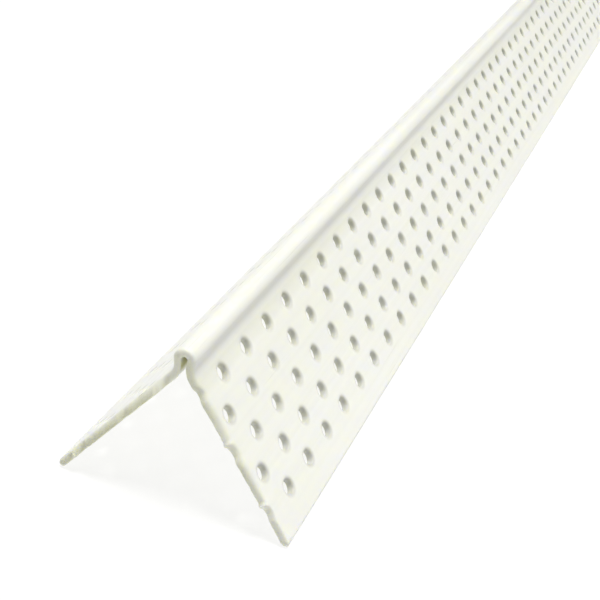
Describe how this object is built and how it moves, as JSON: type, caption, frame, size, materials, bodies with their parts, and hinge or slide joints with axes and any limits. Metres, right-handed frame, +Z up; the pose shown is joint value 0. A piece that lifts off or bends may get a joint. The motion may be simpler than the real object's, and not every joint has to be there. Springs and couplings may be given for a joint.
{
  "type": "corner bead",
  "caption": "Perforated PVC corner bead: a hollow rounded nose between thin angled flanges with staggered rows of round holes, set into plaster at an outside corner.",
  "frame": {"origin": "middle of the bead's length, midway between the flange edges, on the floor that the edges lie on", "axes": "+Y along the length, away from the rough cut end; +Z up through the nose; +X across, towards the right flange"},
  "size_m": [0.0302, 2.5, 0.0217],
  "materials": {
    "pvc": "satin cream PVC, slightly translucent"
  },
  "bodies": {
    "root": {"corner_bead": "pvc"}
  },
  "joints": []
}
